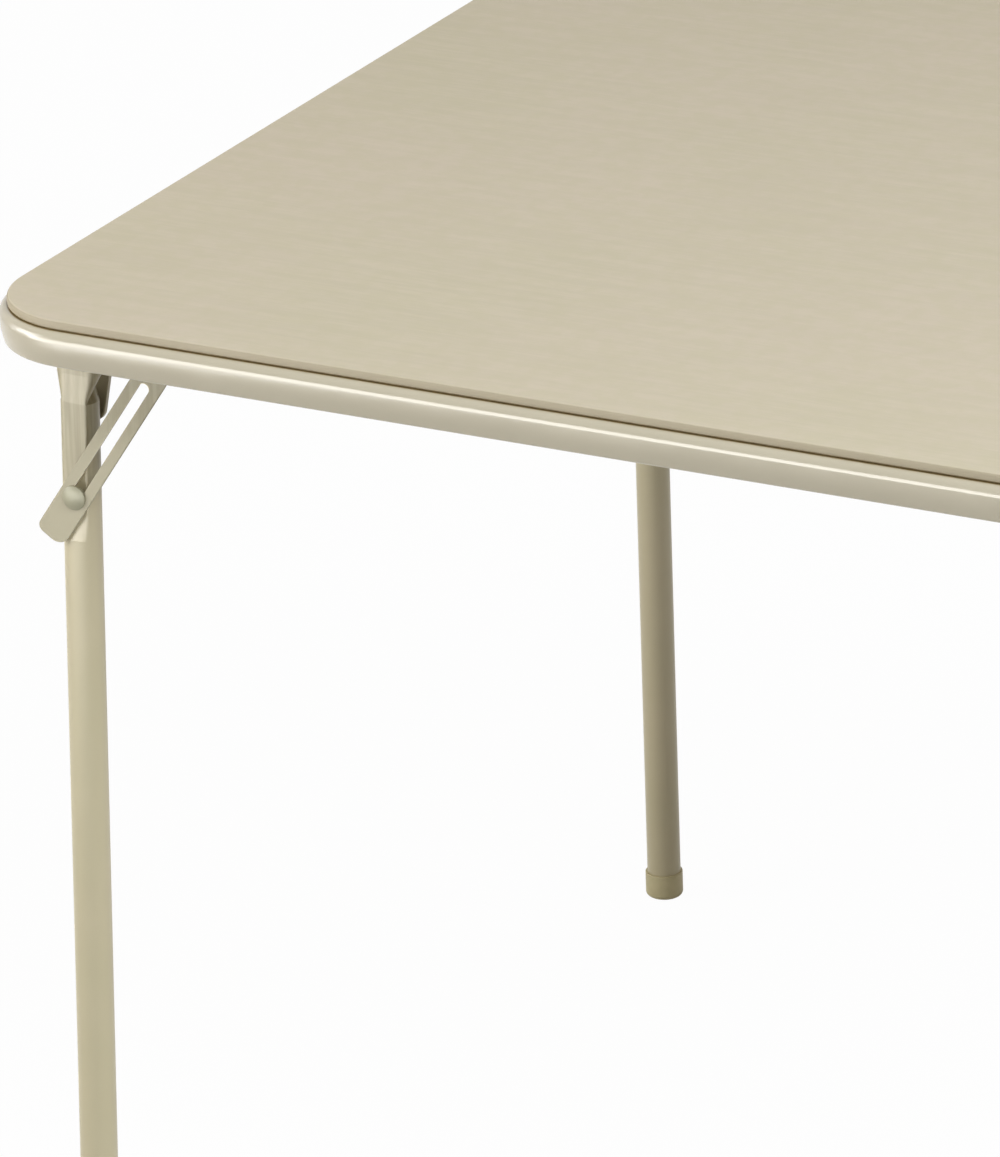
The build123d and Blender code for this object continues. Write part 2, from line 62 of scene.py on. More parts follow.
Colour = tuple[float, float, float]
Point = tuple[float, float, float]
Limits = tuple[float, float]
Piece = bpy.types.Object
Material = bpy.types.Material
Socket = bpy.types.NodeSocket
Input = Socket | float | tuple[float, ...]
FaceTest = Callable[[Vector, Vector], bool]  # takes a face's centre and normal


def daylight(colour: Colour) -> tuple[float, float, float, float]:
    """Turn a colour as a screen shows it into a shader's linear one, by the numbers of the sRGB curve.

    Args:
        colour: Red, green and blue from 0 to 255.

    Returns:
        Linear red, green, blue and an alpha of 1.
    """
    shares = [value / 255 for value in colour]
    linear = [share / 12.92 if share <= 0.04045 else ((share + 0.055) / 1.055) ** 2.4 for share in shares]
    return (*linear, 1.0)


@dataclass(frozen=True)
class Pattern:
    """An uneven pattern in space, soft as it comes or cut to a mask.

    Attributes:
        scale: Its marks to a metre, or 1 where it is stretched.
        detail: How many finer layers it has.
        roughness: How strong those layers are.
        limits: The values that become 0 and 1 where it is cut to a mask.
        stretch: Its marks to a metre along each axis, where it has a direction.
    """

    scale: float
    detail: float
    roughness: float
    limits: Limits | None = None
    stretch: Point | None = None


class Graph:
    """Shorthand for laying out a shader tree or a node group."""

    def __init__(self, tree: bpy.types.NodeTree) -> None:
        """Keep the tree that the nodes go into."""
        self.tree = tree

    def feed(self, socket: Socket, value: Input) -> None:
        """Wire an input, or set it."""
        if isinstance(value, Socket):
            self.tree.links.new(value, socket)
        else:
            socket.default_value = value

    def add(self, kind: str, inputs: dict[str | int, Input] | None = None,
            **settings: object) -> bpy.types.Node:
        """Add one node, set it and wire it.

        Args:
            kind: The node's type name.
            inputs: Values or output sockets by the name or number of the input.
            settings: Attributes of the node itself.

        Returns:
            The new node.
        """
        node = self.tree.nodes.new(kind)
        for name, value in settings.items():
            setattr(node, name, value)
        for key, value in (inputs or {}).items():
            self.feed(node.inputs[key], value)
        return node

    def compute(self, operation: str, first: Input, second: Input = 0.0) -> Socket:
        """Add a math node and return its output."""
        return self.add("ShaderNodeMath", {0: first, 1: second}, operation=operation).outputs[0]

    def plus(self, first: Input, second: Input) -> Socket:
        """Add two values."""
        return self.compute("ADD", first, second)

    def minus(self, first: Input, second: Input) -> Socket:
        """Take the second value from the first."""
        return self.compute("SUBTRACT", first, second)

    def times(self, first: Input, second: Input) -> Socket:
        """Multiply two values."""
        return self.compute("MULTIPLY", first, second)

    def add_shares(self, base: Input, *parts: tuple[Input, Input]) -> Input:
        """Add more values to a first one.

        Args:
            base: The first value.
            parts: Each further value and the share of it that is added.

        Returns:
            The sum.
        """
        for value, share in parts:
            base = self.plus(base, self.times(value, share))
        return base

    def diagonal(self, first: Input, second: Input) -> Socket:
        """Length of the long side over two sides at a right angle."""
        squares = [self.compute("POWER", side, 2.0) for side in (first, second)]
        return self.compute("SQRT", self.plus(*squares))

    def span(self, value: Input, limits: tuple[Input, Input], onto: Limits = (0.0, 1.0)) -> Socket:
        """Map a value smoothly from between two limits onto another span and return the output."""
        inputs = {0: value, 1: limits[0], 2: limits[1], 3: onto[0], 4: onto[1]}
        return self.add("ShaderNodeMapRange", inputs, interpolation_type="SMOOTHSTEP").outputs[0]

    def blend(self, amount: Input, under: Input, over: Input) -> Socket:
        """Mix one linear colour over another and return the output."""
        return self.add("ShaderNodeMix", {0: amount, 6: under, 7: over}, data_type="RGBA").outputs[2]

    def tint(self, amount: Input, under: Socket | Colour, over: Colour) -> Socket:
        """Mix a colour, as a screen shows it, over another and return the output."""
        return self.blend(amount, under if isinstance(under, Socket) else daylight(under), daylight(over))

    def axis(self, vector: Socket, number: int) -> Socket:
        """One of a vector's parts: X, Y or Z."""
        return self.add("ShaderNodeSeparateXYZ", {0: vector}).outputs[number]

    def noise(self, place: Socket, pattern: Pattern) -> Socket:
        """Lay out a pattern.

        Args:
            place: Its coordinates.
            pattern: What it looks like.

        Returns:
            Its value, cut to a mask where it has limits.
        """
        if pattern.stretch is not None:
            place = self.add("ShaderNodeMapping", {"Vector": place, "Scale": pattern.stretch}).outputs[0]
        inputs = {"Vector": place, "Scale": pattern.scale, "Detail": pattern.detail,
                  "Roughness": pattern.roughness}
        value = self.add("ShaderNodeTexNoise", inputs).outputs["Fac"]
        return value if pattern.limits is None else self.span(value, pattern.limits)


def empty_graph(owner: Material | bpy.types.World) -> Graph:
    """Clear the nodes of a material or a world.

    Args:
        owner: The material or world.

    Returns:
        Its graph.
    """
    owner.use_nodes = True
    owner.node_tree.nodes.clear()
    return Graph(owner.node_tree)


class Effect:
    """A shader node group that several finishes share."""

    def __init__(self, name: str, inputs: dict[str, float | Point], outputs: tuple[str, ...]) -> None:
        """Make the group with its place as a vector, inputs of its own and number outputs.

        Args:
            name: The group's name.
            inputs: Each other input, a number or a vector, and its value where none is given.
            outputs: The names of the number outputs.
        """
        self.tree = bpy.data.node_groups.new(name, "ShaderNodeTree")
        self.tree.interface.new_socket("Place", in_out="INPUT", socket_type="NodeSocketVector")
        for socket, value in inputs.items():
            kind = "NodeSocketVector" if isinstance(value, tuple) else "NodeSocketFloat"
            made = self.tree.interface.new_socket(socket, in_out="INPUT", socket_type=kind)
            made.default_value = value
        for socket in outputs:
            self.tree.interface.new_socket(socket, in_out="OUTPUT", socket_type="NodeSocketFloat")
        self.graph = Graph(self.tree)
        self.given = self.graph.add("NodeGroupInput").outputs
        self.place = self.given["Place"]
        self.result = self.graph.add("NodeGroupOutput")

    def give(self, name: str, socket: Socket) -> None:
        """Wire one output of the group."""
        self.tree.links.new(socket, self.result.inputs[name])

    def use(self, graph: Graph, place: Socket, **values: Input) -> bpy.types.NodeOutputs:
        """Place the group in a material.

        Args:
            graph: The material's graph.
            place: Coordinates for the group.
            values: Numbers or sockets by input name, with spaces written as underscores.

        Returns:
            The outputs of the placed group.
        """
        inputs = {"Place": place}
        for name, value in values.items():
            inputs[name.replace("_", " ")] = value
        return graph.add("ShaderNodeGroup", inputs, node_tree=self.tree).outputs


class EnamelPeel(Effect):
    """Orange peel of a baked enamel: soft bumps, and slow waves of tone."""

    FINE = Pattern(620.0, 2.0, 0.45)
    BROAD = Pattern(130.0, 1.0, 0.4)
    WAVES = Pattern(14.0, 2.0, 0.5, limits=(0.3, 0.7))
    FINE_SHARE = 0.65
    BROAD_SHARE = 0.35

    def __init__(self) -> None:
        """Build the group."""
        super().__init__("enamel_peel", {}, ("Height", "Wave"))
        graph, place = self.graph, self.place
        fine = graph.times(graph.noise(place, self.FINE), self.FINE_SHARE)
        self.give("Height", graph.add_shares(fine, (graph.noise(place, self.BROAD), self.BROAD_SHARE)))
        self.give("Wave", graph.noise(place, self.WAVES))


class HandlingMarks(Effect):
    """Marks of use: smudges that change the gloss, hairline scratches and settled dust."""

    SMUDGES = Pattern(17.0, 3.0, 0.6, limits=(0.42, 0.68))
    HAIRLINES = Pattern(1.0, 3.0, 0.7, limits=(0.66, 0.72), stretch=(35.0, 900.0, 420.0))
    SCRATCHED_PARTS = Pattern(23.0, 1.0, 0.5, limits=(0.52, 0.62))
    DUST_GRAINS = Pattern(210.0, 4.0, 0.75, limits=(0.4, 0.75))
    FACING_UP = (0.55, 0.95)

    def __init__(self) -> None:
        """Build the group."""
        super().__init__("handling_marks", {"Amount": 0.5}, ("Smudge", "Scratch", "Dust"))
        graph, place, amount = self.graph, self.place, self.given["Amount"]
        self.give("Smudge", graph.times(graph.noise(place, self.SMUDGES), amount))
        scratches = graph.times(graph.noise(place, self.HAIRLINES), graph.noise(place, self.SCRATCHED_PARTS))
        self.give("Scratch", graph.times(scratches, amount))
        normal = graph.add("ShaderNodeNewGeometry").outputs["Normal"]
        upward = graph.span(graph.axis(normal, Z), self.FACING_UP)
        dust = graph.times(upward, graph.noise(place, self.DUST_GRAINS))
        self.give("Dust", graph.times(dust, amount))


class StraightGrain(Effect):
    """Fine straight grain: threads along X of uneven length, crossed by faint short ones."""

    THREADS = Pattern(1.0, 2.0, 0.55, stretch=(28.0, 520.0, 520.0))
    CROSSING = Pattern(1.0, 2.0, 0.5, stretch=(560.0, 90.0, 560.0))
    PEBBLE = Pattern(1150.0, 1.0, 0.5)
    SLUBS = Pattern(1.0, 3.0, 0.6, stretch=(9.0, 95.0, 95.0))
    THREAD_HEIGHT = 0.55
    CROSSING_HEIGHT = 0.2
    PEBBLE_HEIGHT = 0.25
    THREAD_TONE = 0.45
    SLUB_TONE = 0.55

    def __init__(self) -> None:
        """Build the group."""
        super().__init__("straight_grain", {}, ("Height", "Tone"))
        graph, place = self.graph, self.place
        threads = graph.noise(place, self.THREADS)
        crossing = (graph.noise(place, self.CROSSING), self.CROSSING_HEIGHT)
        pebble = (graph.noise(place, self.PEBBLE), self.PEBBLE_HEIGHT)
        self.give("Height", graph.add_shares(graph.times(threads, self.THREAD_HEIGHT), crossing, pebble))
        slubs = (graph.noise(place, self.SLUBS), self.SLUB_TONE)
        self.give("Tone", graph.add_shares(graph.times(threads, self.THREAD_TONE), slubs))


class GrooveShade(Effect):
    """Painted shade in the groove that runs round the panel, where its lower edge meets the rail: a dark
    colour in place of the groove's shadow.

    The mask falls off with the distance from a rounded square that lies level.
    """

    RAGGED = Pattern(120.0, 3.0, 0.6)
    RAGGED_BY = 0.5 * MM
    DEPTHS_TO_RIM = 1.75

    def __init__(self) -> None:
        """Build the group."""
        sizes = {"Half side": 0.4, "Corner radius": 0.06, "Level": 0.7, "Depth": 1.2 * MM}
        super().__init__("groove_painted_shade", sizes, ("Mask",))
        graph, given = self.graph, self.given
        straight = graph.minus(given["Half side"], given["Corner radius"])
        past = [graph.minus(graph.compute("ABSOLUTE", graph.axis(self.place, number)), straight)
                for number in (X, Y)]
        corner = graph.diagonal(*[graph.compute("MAXIMUM", part, 0.0) for part in past])
        within = graph.compute("MINIMUM", graph.compute("MAXIMUM", *past), 0.0)
        beyond = graph.minus(graph.plus(corner, within), given["Corner radius"])
        beyond = graph.plus(beyond, given["Depth"])
        above = graph.minus(graph.axis(self.place, Z), given["Level"])
        ragged = graph.times(graph.minus(graph.noise(self.place, self.RAGGED), NOISE_MIDDLE), self.RAGGED_BY)
        apart = graph.plus(graph.diagonal(beyond, above), ragged)
        rim = graph.times(given["Depth"], self.DEPTHS_TO_RIM)
        self.give("Mask", graph.minus(1.0, graph.span(apart, (given["Depth"], rim))))


class RubbedLine(Effect):
    """Paint rubbed off along a straight line, with a ragged edge: 1 where it is gone."""

    RAGGED = Pattern(900.0, 3.0, 0.6)
    RAGGED_BY = 1.2 * MM
    EDGE = 0.5 * MM

    def __init__(self) -> None:
        """Build the group."""
        sizes = {"Start": (0.0, 0.0, 0.0), "Way": (1.0, 0.0, 0.0), "Length": 0.1, "Reach": 1.0 * MM}
        super().__init__("rubbed_line", sizes, ("Mask",))
        graph, given = self.graph, self.given
        offset = graph.add("ShaderNodeVectorMath", {0: self.place, 1: given["Start"]},
                           operation="SUBTRACT").outputs[0]
        along = graph.add("ShaderNodeVectorMath", {0: offset, 1: given["Way"]},
                          operation="DOT_PRODUCT").outputs[1]
        held = graph.compute("MINIMUM", graph.compute("MAXIMUM", along, 0.0), given["Length"])
        near = graph.add("ShaderNodeVectorMath", {0: given["Way"], 3: held}, operation="SCALE").outputs[0]
        apart = graph.add("ShaderNodeVectorMath", {0: offset, 1: near}, operation="DISTANCE").outputs[1]
        uneven = graph.add_shares(apart, (graph.noise(self.place, self.RAGGED), self.RAGGED_BY))
        limits = (given["Reach"], graph.plus(given["Reach"], self.EDGE))
        self.give("Mask", graph.minus(1.0, graph.span(uneven, limits)))


class UnderRailShade(Effect):
    """Painted shade under the rail: darker above a height, in streaks that run down."""

    RUNS = Pattern(1.0, 3.0, 0.6, stretch=(210.0, 210.0, 9.0))
    RUN_LIMITS = (0.32, 0.66)
    RUN_STRENGTH = (0.5, 1.0)
    RISE = 36 * MM

    def __init__(self) -> None:
        """Build the group."""
        super().__init__("under_rail_painted_shade", {"From": 0.6, "Share": 0.5}, ("Mask",))
        graph, given = self.graph, self.given
        limits = (given["From"], graph.plus(given["From"], self.RISE))
        rise = graph.span(graph.axis(self.place, Z), limits)
        runs = graph.span(graph.noise(self.place, self.RUNS), self.RUN_LIMITS, self.RUN_STRENGTH)
        self.give("Mask", graph.times(rise, graph.times(runs, given["Share"])))


@dataclass(frozen=True)
class SharedEffects:
    """The effects that the finishes use, each built once."""

    peel: EnamelPeel = field(default_factory=EnamelPeel)
    handling: HandlingMarks = field(default_factory=HandlingMarks)
    grain: StraightGrain = field(default_factory=StraightGrain)
    groove: GrooveShade = field(default_factory=GrooveShade)
    rubbing: RubbedLine = field(default_factory=RubbedLine)
    under_rail_shade: UnderRailShade = field(default_factory=UnderRailShade)


class Finish:
    """A named material with a Principled shader, its coordinates and a bump chain."""

    def __init__(self, name: str) -> None:
        """Start an empty material.

        Args:
            name: The material's name.
        """
        self.material = bpy.data.materials.new(name)
        self.graph = empty_graph(self.material)
        self.shader = self.graph.add("ShaderNodeBsdfPrincipled")
        self.graph.add("ShaderNodeOutputMaterial", {"Surface": self.shader.outputs[0]})
        self.place = self.graph.add("ShaderNodeTexCoord").outputs["Object"]
        self.bumped: Socket | None = None

    def feed(self, socket: str, value: Input) -> None:
        """Set a shader input, or wire it."""
        self.graph.feed(self.shader.inputs[socket], value)

    def bump(self, height: Socket, depth: float, strength: float = 1.0) -> None:
        """Lay one more relief over those before it.

        Args:
            height: The relief, from 0 to 1.
            depth: Its depth in metres.
            strength: How much of it shows.
        """
        inputs = {"Height": height, "Distance": depth, "Strength": strength}
        if self.bumped is not None:
            inputs["Normal"] = self.bumped
        self.bumped = self.graph.add("ShaderNodeBump", inputs).outputs[0]
        self.feed("Normal", self.bumped)


class WearPlace(Enum):
    """Where a painted piece is rubbed."""

    NONE = "none"
    SLOT = "slot"
    SEAM = "seam"


@dataclass(frozen=True)
class Groove:
    """The groove round the panel, between its lower edge and the rail."""

    half_side: float
    corner_radius: float
    level: float
    depth: float = 1.25 * MM
    # dark colour painted in the groove as its shadow
    painted_shade: Colour = (131, 113, 76)

    def darken(self, effects: SharedEffects, graph: Graph, place: Socket, tone: Socket) -> Socket:
        """Lay the groove's painted shade over a colour.

        Args:
            effects: The shared effects.
            graph: The material's graph.
            place: Object coordinates.
            tone: The colour without the shade.

        Returns:
            The colour with the painted shade.
        """
        mask = effects.groove.use(graph, place, Half_side=self.half_side, Corner_radius=self.corner_radius,
                                  Level=self.level, Depth=self.depth)["Mask"]
        return graph.tint(mask, tone, self.painted_shade)


@dataclass(frozen=True)
class Enamel:
    """Beige enamel baked on steel, dusty, marked by use and rubbed off in places, with painted shade under
    the rail and in the panel's groove where asked.
    """

    name: str
    colour: Colour
    shade: Colour
    gloss_roughness: float
    coat: float = 0.25
    coat_roughness: float = 0.12
    specular: float = 0.5
    peel_depth: float = 0.035 * MM
    marks: float = 0.35
    smudge_roughness: float = 0.16
    scratch_depth: float = 0.01 * MM
    scratch_strength: float = 0.6
    dust: Colour = (214, 208, 192)
    dust_share: float = 0.22
    dust_roughness: float = 0.2
    wear: WearPlace = WearPlace.NONE
    wear_reach: float = 1.1 * MM
    bare_steel: Colour = (166, 158, 140)
    bare_roughness: float = 0.1
    bare_metallic: float = 0.8
    seam_line: Colour = (120, 108, 84)
    seam_share: float = 0.5
    # painted shade under the rail: its colour, the height where it starts and its strength
    under_rail_shade_colour: Colour = (98, 88, 46)
    under_rail_shade_from: float = 0.0
    under_rail_shade_share: float = 0.5

    def make(self, effects: SharedEffects, line: tuple[Vector, Vector] | None = None,
             groove: Groove | None = None) -> Material:
        """Build the material.

        Args:
            effects: The shared effects.
            line: Both ends of the line that the wear follows, where there is one.
            groove: The groove whose painted shade the piece borders, where there is one.

        Returns:
            The material.
        """
        finish = Finish(self.name)
        graph, place = finish.graph, finish.place
        peel = effects.peel.use(graph, place)
        marks = effects.handling.use(graph, place, Amount=self.marks)
        tone = graph.tint(peel["Wave"], self.shade, self.colour)
        tone = graph.tint(graph.times(marks["Dust"], self.dust_share), tone, self.dust)
        rough = graph.add_shares(self.gloss_roughness, (marks["Smudge"], self.smudge_roughness),
                                 (marks["Dust"], self.dust_roughness))
        metal: Input = 0.0
        if self.wear is not WearPlace.NONE and line is not None:
            start, end = line
            way = (end - start).normalized()
            rubbed = effects.rubbing.use(graph, place, Start=tuple(start), Way=tuple(way),
                                         Length=(end - start).length, Reach=self.wear_reach)["Mask"]
            if self.wear is WearPlace.SLOT:
                tone = graph.tint(rubbed, tone, self.bare_steel)
                rough = graph.add_shares(rough, (rubbed, self.bare_roughness))
                metal = graph.times(rubbed, self.bare_metallic)
            else:
                tone = graph.tint(graph.times(rubbed, self.seam_share), tone, self.seam_line)
        if groove is not None:
            # painted shade of the groove along the panel's edge
            tone = groove.darken(effects, graph, place, tone)
        # painted shade under the rail, in streaks
        if self.under_rail_shade_from > 0.0:
            runs = effects.under_rail_shade.use(graph, place, From=self.under_rail_shade_from, Share=self.under_rail_shade_share)["Mask"]
            tone = graph.tint(runs, tone, self.under_rail_shade_colour)
        finish.feed("Base Color", tone)
        finish.feed("Roughness", rough)
        finish.feed("Metallic", metal)
        finish.feed("Coat Weight", self.coat)
        finish.feed("Specular IOR Level", self.specular)
        finish.feed("Coat Roughness", self.coat_roughness)
        finish.bump(peel["Height"], self.peel_depth)
        finish.bump(graph.minus(1.0, marks["Scratch"]), self.scratch_depth, self.scratch_strength)
        return finish.material


@dataclass(frozen=True)
class EmbossedVinyl:
    """Upholstery vinyl with a fine straight grain, a low sheen and painted shade on its rolled edge."""

    top: float
    name: str = "vinyl_cover_finish"
    light: Colour = (207, 196, 172)
    deep: Colour = (201, 191, 166)
    grain_limits: Limits = (0.36, 0.64)
    grain_depth: float = 0.012 * MM
    grain_roughness: float = 0.1
    patches: Pattern = Pattern(4.5, 3.0, 0.55, limits=(0.3, 0.7))
    patch: Colour = (210, 195, 177)
    patch_share: float = 0.4
    mottles: Pattern = Pattern(85.0, 2.0, 0.6, limits=(0.32, 0.68))
    mottle: Colour = (199, 190, 160)
    mottle_share: float = 0.4
    # darker colour painted on the rolled edge as its shade
    edge_shade: Colour = (160, 148, 122)
    edge_top: float = 0.06 * MM
    edge_drop: float = 0.7 * MM
    edge_share: float = 0.85
    marks: float = 0.3
    roughness: float = 0.66
    smudge_gloss: float = -0.12
    specular: float = 0.3
    waves: Pattern = Pattern(16.0, 2.0, 0.5)
    wave_depth: float = 0.1 * MM
    wave_strength: float = 0.5

    def make(self, effects: SharedEffects, groove: Groove) -> Material:
        """Build the material.

        Args:
            effects: The shared effects.
            groove: The groove under the sheet's edge.

        Returns:
            The material.
        """
        finish = Finish(self.name)
        graph, place = finish.graph, finish.place
        grain = effects.grain.use(graph, place)
        marks = effects.handling.use(graph, place, Amount=self.marks)
        tone = graph.tint(graph.span(grain["Tone"], self.grain_limits), self.deep, self.light)
        tone = graph.tint(graph.times(graph.noise(place, self.patches), self.patch_share), tone, self.patch)
        tone = graph.tint(graph.times(graph.noise(place, self.mottles), self.mottle_share), tone, self.mottle)
        # painted shade over the rolled edge, in a band just below the top
        edge = graph.span(graph.axis(place, Z), (self.top - self.edge_drop, self.top - self.edge_top),
                          (self.edge_share, 0.0))
        tone = graph.tint(edge, tone, self.edge_shade)
        # painted shade of the groove on the sheet's lower edge
        finish.feed("Base Color", groove.darken(effects, graph, place, tone))
        finish.feed("Roughness", graph.add_shares(self.roughness, (grain["Height"], self.grain_roughness),
                                                  (marks["Smudge"], self.smudge_gloss)))
        finish.feed("Specular IOR Level", self.specular)
        finish.bump(graph.noise(place, self.waves), self.wave_depth, self.wave_strength)
        finish.bump(grain["Height"], self.grain_depth)
        return finish.material


@dataclass(frozen=True)
class OpenFoam:
    """Thin open-cell foam."""

    name: str = "foam_finish"
    colour: Colour = (236, 226, 186)
    deep: Colour = (205, 190, 140)
    cells_to_a_metre: float = 900.0
    cell_limits: Limits = (0.0, 0.5)
    cell_depth: float = 0.3 * MM
    roughness: float = 0.95

    def make(self) -> Material:
        """Build the material and return it."""
        finish = Finish(self.name)
        graph = finish.graph
        inputs = {"Vector": finish.place, "Scale": self.cells_to_a_metre}
        cells = graph.add("ShaderNodeTexVoronoi", inputs).outputs["Distance"]
        finish.feed("Base Color", graph.tint(graph.span(cells, self.cell_limits), self.deep, self.colour))
        finish.feed("Roughness", self.roughness)
        finish.bump(cells, self.cell_depth)
        return finish.material


@dataclass(frozen=True)
class Hardboard:
    """Pressed hardboard with the print of the screen on its back."""

    name: str = "hardboard_finish"
    colour: Colour = (128, 92, 60)
    deep: Colour = (92, 62, 38)
    fibres: Pattern = Pattern(260.0, 5.0, 0.7)
    flakes: Pattern = Pattern(1.0, 4.0, 0.6, stretch=(70.0, 190.0, 70.0))
    fibre_share: float = 0.55
    flake_share: float = 0.45
    tone_limits: Limits = (0.36, 0.64)
    marks: float = 0.5
    stain: Colour = (84, 58, 38)
    stain_share: float = 0.35
    roughness_limits: Limits = (0.3, 0.7)
    roughness: Limits = (0.62, 0.85)
    screen_pitch: float = 1.6 * MM
    screen_depth: float = 0.12 * MM
    fibre_depth: float = 0.1 * MM

    def make(self, effects: SharedEffects) -> Material:
        """Build the material and return it."""
        finish = Finish(self.name)
        graph, place = finish.graph, finish.place
        fibre = graph.noise(place, self.fibres)
        marks = effects.handling.use(graph, place, Amount=self.marks)
        mixed = graph.add_shares(graph.times(fibre, self.fibre_share),
                                 (graph.noise(place, self.flakes), self.flake_share))
        tone = graph.tint(graph.span(mixed, self.tone_limits), self.deep, self.colour)
        tone = graph.tint(graph.times(marks["Smudge"], self.stain_share), tone, self.stain)
        finish.feed("Base Color", tone)
        finish.feed("Roughness", graph.span(mixed, self.roughness_limits, self.roughness))
        turns = [graph.times(graph.axis(place, number), 2 * math.pi / self.screen_pitch) for number in (X, Y)]
        screen = graph.times(*[graph.compute("SINE", turn) for turn in turns])
        finish.bump(screen, self.screen_depth)
        finish.bump(fibre, self.fibre_depth)
        return finish.material


@dataclass(frozen=True)
class BrightZinc:
    """Bright zinc on plain steel hardware."""

    name: str
    colour: Colour = (196, 197, 192)
    dull: Colour = (150, 148, 138)
    clouds: Pattern = Pattern(320.0, 3.0, 0.6)
    tone_limits: Limits = (0.3, 0.7)
    cloud_depth: float = 0.03 * MM
    marks: float = 0.9
    metallic: float = 0.95
    roughness: float = 0.3
    smudge_roughness: float = 0.2

    def make(self, effects: SharedEffects) -> Material:
        """Build the material and return it."""
        finish = Finish(self.name)
        graph, place = finish.graph, finish.place
        marks = effects.handling.use(graph, place, Amount=self.marks)
        cloud = graph.noise(place, self.clouds)
        finish.feed("Base Color", graph.tint(graph.span(cloud, self.tone_limits), self.dull, self.colour))
        finish.feed("Metallic", self.metallic)
        finish.feed("Roughness", graph.add_shares(self.roughness, (marks["Smudge"], self.smudge_roughness)))
        finish.bump(cloud, self.cloud_depth)
        return finish.material


@dataclass(frozen=True)
class MouldedTip:
    """Soft moulded plastic with a faint stipple and a scuffed lower edge."""

    name: str = "foot_tip_finish"
    colour: Colour = (194, 183, 143)
    deep: Colour = (184, 174, 133)
    clouds: Pattern = Pattern(60.0, 3.0, 0.6)
    tone_limits: Limits = (0.3, 0.7)
    scuffed: Colour = (140, 130, 96)
    scuff_limits: Limits = (0.35, 0.7)
    scuff_top: float = 6.0 * MM
    scuff_share: float = 0.7
    scuff_roughness: float = 0.25
    roughness: float = 0.5
    stipple: Pattern = Pattern(1300.0, 2.0, 0.5)
    stipple_depth: float = 0.05 * MM

    def make(self) -> Material:
        """Build the material and return it."""
        finish = Finish(self.name)
        graph, place = finish.graph, finish.place
        cloud = graph.noise(place, self.clouds)
        low = graph.span(graph.axis(place, Z), (0.0, self.scuff_top), (1.0, 0.0))
        scuff = graph.times(low, graph.span(cloud, self.scuff_limits))
        tone = graph.tint(graph.span(cloud, self.tone_limits), self.deep, self.colour)
        finish.feed("Base Color", graph.tint(graph.times(scuff, self.scuff_share), tone, self.scuffed))
        finish.feed("Roughness", graph.add_shares(self.roughness, (scuff, self.scuff_roughness)))
        finish.bump(graph.noise(place, self.stipple), self.stipple_depth)
        return finish.material


def paint(piece: Piece, material: Material) -> None:
    """Give a piece its only material."""
    piece.data.materials.clear()
    piece.data.materials.append(material)


def edit_new(name: str) -> Piece:
    """Name the primitive just added, put its place in its mesh and edit it.

    Args:
        name: The piece's name.

    Returns:
        The piece, in edit mode.
    """
    piece = bpy.context.object
    piece.name = name
    bpy.ops.object.transform_apply(location=True, rotation=True, scale=True)
    bpy.ops.object.mode_set(mode="EDIT")
    return piece


def deselect() -> None:
    """Leave edit mode and select nothing."""
    if bpy.context.object is not None and bpy.context.object.mode != "OBJECT":
        bpy.ops.object.mode_set(mode="OBJECT")
    bpy.ops.object.select_all(action="DESELECT")


def only(piece: Piece) -> None:
    """Select one piece alone and make it active."""
    deselect()
    piece.select_set(True)
    bpy.context.view_layer.objects.active = piece


def pick_faces(piece: Piece, test: FaceTest) -> None:
    """Select the faces of a piece in edit mode that pass a test.

    Args:
        piece: The piece that is being edited.
        test: Says whether a face is wanted.
    """
    bpy.ops.mesh.select_mode(type="FACE")
    bpy.ops.mesh.select_all(action="DESELECT")
    bpy.ops.object.mode_set(mode="OBJECT")
    for face in piece.data.polygons:
        face.select = bool(test(face.center, face.normal))
    bpy.ops.object.mode_set(mode="EDIT")


def cut_both_ways(piece: Piece, distances: Iterable[float], test: FaceTest) -> None:
    """Cut faces of a piece in edit mode along upright planes, across X and then across Y.

    Args:
        piece: The piece that is being edited.
        distances: How far each plane lies from the origin.
        test: Says whether a face is cut.
    """
    for normal in ((1, 0, 0), (0, 1, 0)):
        for distance in distances:
            pick_faces(piece, test)
            bpy.ops.mesh.bisect(plane_co=distance * Vector(normal), plane_no=normal)


def roll_over(width: float, height: float, steps: int) -> None:
    """Round the selected face over towards its middle, ring by ring.

    Args:
        width: How far the roll reaches inwards.
        height: How far it rises along the face's normal.
        steps: How many rings it has.
    """
    angles = [QUARTER_TURN * index / steps for index in range(steps + 1)]
    for before, after in zip(angles, angles[1:]):
        bpy.ops.mesh.inset(thickness=width * (math.cos(before) - math.cos(after)),
                           depth=height * (math.sin(after) - math.sin(before)))


def raise_selected(height: float) -> None:
    """Extrude the selected faces straight up."""
    bpy.ops.mesh.extrude_region_move(TRANSFORM_OT_translate={"value": (0, 0, height)})


def settle(piece: Piece, smooth_below: float) -> None:
    """Put a finished piece's place in its mesh, turn its faces outwards and smooth it.

    Args:
        piece: The piece.
        smooth_below: Edges under this angle, in degrees, are smooth.
    """
    only(piece)
    bpy.ops.object.transform_apply(location=True, rotation=True, scale=True)
    bpy.ops.object.mode_set(mode="EDIT")
    bpy.ops.mesh.select_all(action="SELECT")
    bpy.ops.mesh.remove_doubles(threshold=MERGE_DISTANCE)
    bpy.ops.mesh.normals_make_consistent(inside=False)
    bpy.ops.object.mode_set(mode="OBJECT")
    bpy.ops.object.shade_smooth_by_angle(angle=math.radians(smooth_below))


